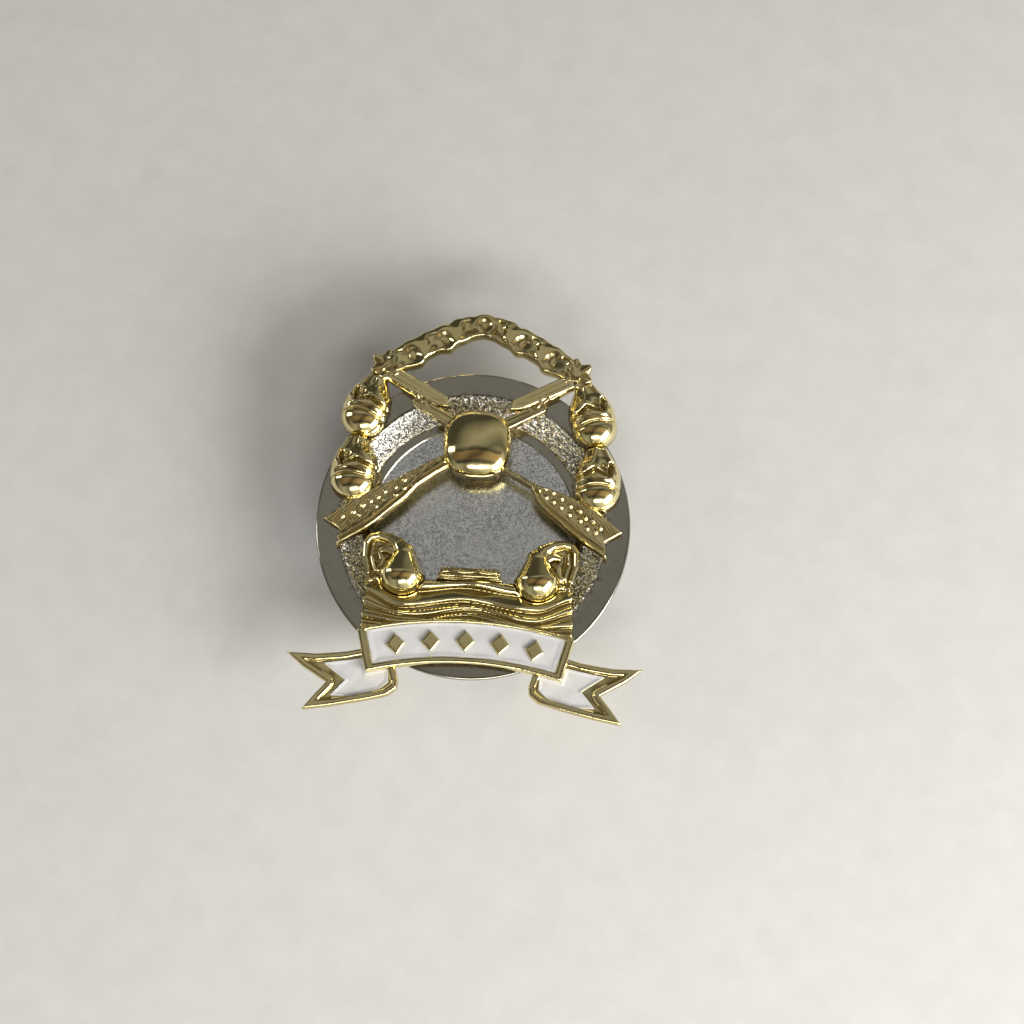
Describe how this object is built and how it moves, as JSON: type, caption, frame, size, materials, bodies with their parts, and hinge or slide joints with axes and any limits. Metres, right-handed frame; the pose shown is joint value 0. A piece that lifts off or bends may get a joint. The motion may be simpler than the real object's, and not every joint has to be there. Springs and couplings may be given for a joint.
{
  "type": "cap badge",
  "caption": "Openwork gilt wreath emblem with a blank white enamel scroll over a round dished plate, held by rear studs and knurled thumb nuts.",
  "frame": {"origin": "centre of the dished plate's flat back face, the face that lies on the cap", "axes": "+Z out of the front of the badge, +Y towards its top, +X to its right as seen from the front"},
  "size_m": [0.0442, 0.0525, 0.0122],
  "materials": {
    "gilt": "polished gold plate",
    "nickel": "nickel plate, worn",
    "enamel": "glossy white enamel",
    "brass": "turned brass",
    "nut_plate": "knurled, nickel plated"
  },
  "bodies": {
    "badge": {"backing_dish": "nickel", "wreath_arch": "gilt", "left_rosette": "gilt", "right_rosette": "gilt", "left_upper_boll": "gilt", "right_upper_boll": "gilt", "left_lower_boll": "gilt", "right_lower_boll": "gilt", "left_lightning": "gilt", "right_lightning": "gilt", "left_fletching": "gilt", "right_fletching": "gilt", "left_volute": "gilt", "right_volute": "gilt", "left_scroll_tail": "gilt", "right_scroll_tail": "gilt", "centre_boss": "gilt", "base_step": "gilt", "wave_base": "gilt", "scroll_panel": "gilt", "panel_enamel": "enamel", "left_tail_enamel": "enamel", "right_tail_enamel": "enamel", "panel_studs": "gilt", "upper_stud": "brass", "lower_stud": "brass", "upper_spacer": "brass", "lower_spacer": "brass"},
    "upper_washer": {"upper_washer": "nickel"},
    "upper_nut": {"upper_nut": "nut_plate"},
    "lower_washer": {"lower_washer": "nickel"},
    "lower_nut": {"lower_nut": "nut_plate"}
  },
  "joints": [
    {"name": "upper_washer_travel", "type": "slide", "parent": "badge", "child": "upper_washer", "axis": [0, 0, -1], "range_m": [0, 0.0025]},
    {"name": "upper_nut_spin", "type": "hinge", "parent": "upper_washer", "child": "upper_nut", "pos_m": [0, 0.01, -0.004], "axis": [0, 0, -1], "range_deg": [0, 1800]},
    {"name": "lower_washer_travel", "type": "slide", "parent": "badge", "child": "lower_washer", "axis": [0, 0, -1], "range_m": [0, 0.0025]},
    {"name": "lower_nut_spin", "type": "hinge", "parent": "lower_washer", "child": "lower_nut", "pos_m": [0, -0.01, -0.004], "axis": [0, 0, -1], "range_deg": [0, 1800]}
  ],
  "couplings": [
    {"joint": "upper_nut_spin", "follows": "upper_washer_travel", "rad_per_m": 12566},
    {"joint": "lower_nut_spin", "follows": "lower_washer_travel", "rad_per_m": 12566}
  ]
}
